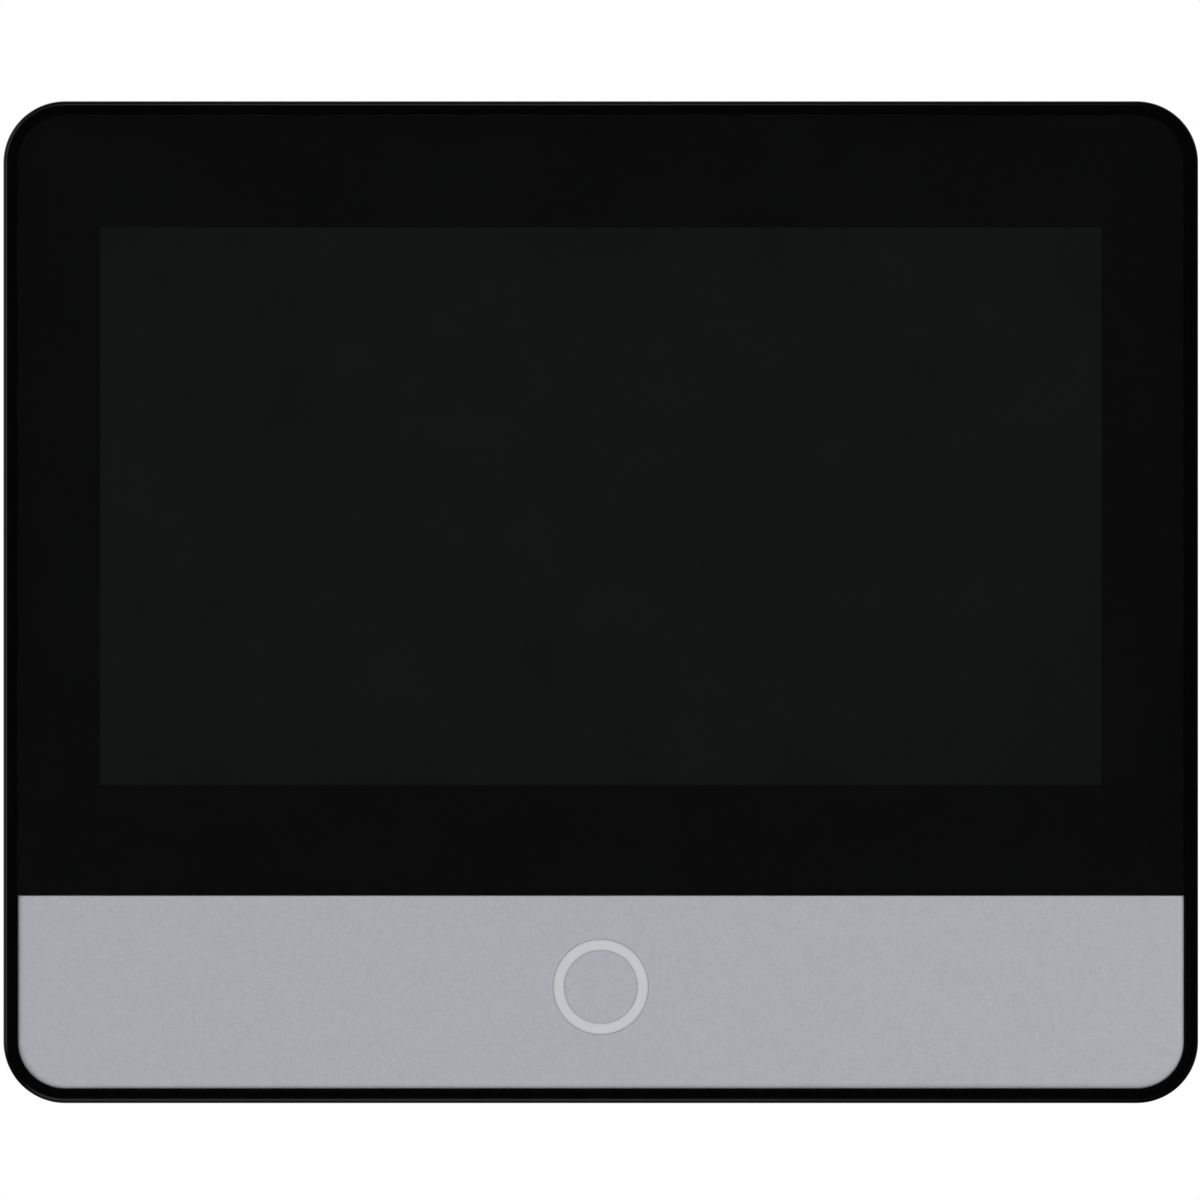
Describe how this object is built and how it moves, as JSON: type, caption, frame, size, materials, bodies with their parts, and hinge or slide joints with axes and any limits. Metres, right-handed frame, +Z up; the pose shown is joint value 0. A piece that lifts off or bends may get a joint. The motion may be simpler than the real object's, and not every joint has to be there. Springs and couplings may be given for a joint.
{
  "type": "alarm keypad panel",
  "caption": "Wall touch-screen panel: black glass over a silver band with a lit ring key, in a thin black rim, hung on a steel wall bracket.",
  "frame": {"origin": "centre of the wall bracket's screw pattern, on the wall plane", "axes": "+Z up the wall, +Y into the wall, +X to the user's right; the screen faces -Y"},
  "size_m": [0.184, 0.022, 0.1544],
  "materials": {
    "galvanised_steel": "satin",
    "rear_abs": "fine texture",
    "rim_abs": "polished",
    "cover_glass": "polished",
    "black_print": "flat",
    "black_tape": "flat",
    "touch_film": "polished",
    "copper_flex": "satin",
    "foam": "flat",
    "display_glass": "polished",
    "backlight": "satin",
    "tray_steel": "satin",
    "screw_zinc": "satin",
    "screw_black": "satin",
    "circuit_board": "satin",
    "chip_epoxy": "flat",
    "tinned_steel": "satin",
    "capacitor_can": "satin",
    "connector_ivory": "satin",
    "battery_steel": "satin",
    "black_nylon": "satin",
    "terminal_green": "satin",
    "pin_tin": "polished",
    "clamp_brass": "satin",
    "spring_steel": "polished",
    "white_acetal": "satin",
    "silver_paint": "satin",
    "light_diffuser": "satin",
    "led": "polished",
    "flat_cable": "satin",
    "button_grey": "satin",
    "mic_can": "satin",
    "boot_rubber": "flat",
    "basket_steel": "satin",
    "cone_paper": "flat",
    "magnet_steel": "satin",
    "lead_insulation": "satin",
    "label_film": "satin"
  },
  "bodies": {
    "wall_plate": {"wall_bracket": "galvanised_steel"},
    "monitor": {"rear_cover": "rear_abs", "front_frame": "rim_abs", "cover_glass": "cover_glass", "glass_print": "black_print", "glass_tape": "black_tape", "touch_sensor": "touch_film", "touch_ribbon": "copper_flex", "lcd_gasket": "foam", "lcd_cell": "display_glass", "lcd_backlight": "backlight", "lcd_tray": "tray_steel", "lcd_ribbon": "copper_flex", "tray_screws": "screw_zinc", "main_board": "circuit_board", "board_chips": "chip_epoxy", "shield_can": "tinned_steel", "board_capacitors": "capacitor_can", "board_connectors": "connector_ivory", "board_screws": "screw_zinc", "clock_battery": "battery_steel", "battery_holder": "black_nylon", "terminal_header": "terminal_green", "header_pins": "pin_tin", "tamper_switch": "black_nylon", "tamper_spring": "spring_steel", "fascia": "silver_paint", "light_cup": "white_acetal", "key_board": "circuit_board", "key_switch": "black_nylon", "ring_leds": "led", "key_connector": "connector_ivory", "key_ribbon": "flat_cable", "key_board_screws": "screw_zinc", "reset_switch": "black_nylon", "microphone": "mic_can", "microphone_boot": "boot_rubber", "speaker_frame": "basket_steel", "speaker_cone": "cone_paper", "speaker_magnet": "magnet_steel", "speaker_gasket": "foam", "speaker_clamp": "rear_abs", "clamp_screws": "screw_zinc", "speaker_leads": "lead_insulation", "housing_screws": "screw_black", "rating_label": "label_film"},
    "ring_key": {"key_cap": "silver_paint", "light_ring": "light_diffuser", "key_plunger": "black_nylon"},
    "tamper_pin": {"tamper_plunger": "white_acetal"},
    "reset_key": {"reset_button": "button_grey"},
    "wiring_plug": {"terminal_plug": "terminal_green", "plug_screws": "screw_zinc", "plug_clamps": "clamp_brass"}
  },
  "joints": [
    {"name": "panel_lift", "type": "slide", "parent": "wall_plate", "child": "monitor", "axis": [0, 0, 1], "range_m": [0, 0.006]},
    {"name": "key_press", "type": "slide", "parent": "monitor", "child": "ring_key", "axis": [0, 1, 0], "range_m": [0, 0.0005], "stiffness_N_per_m": 800, "springref_m": -0.0015},
    {"name": "tamper_press", "type": "slide", "parent": "monitor", "child": "tamper_pin", "axis": [0, -1, 0], "range_m": [0, 0.0007], "stiffness_N_per_m": 300, "springref_m": -0.002, "deforming": ["tamper_spring"]},
    {"name": "reset_press", "type": "slide", "parent": "monitor", "child": "reset_key", "axis": [0, 0, 1], "range_m": [0, 0.0003], "stiffness_N_per_m": 2000, "springref_m": -0.0005},
    {"name": "plug_pull", "type": "slide", "parent": "monitor", "child": "wiring_plug", "axis": [0, 0, -1], "range_m": [0, 0.008]}
  ]
}
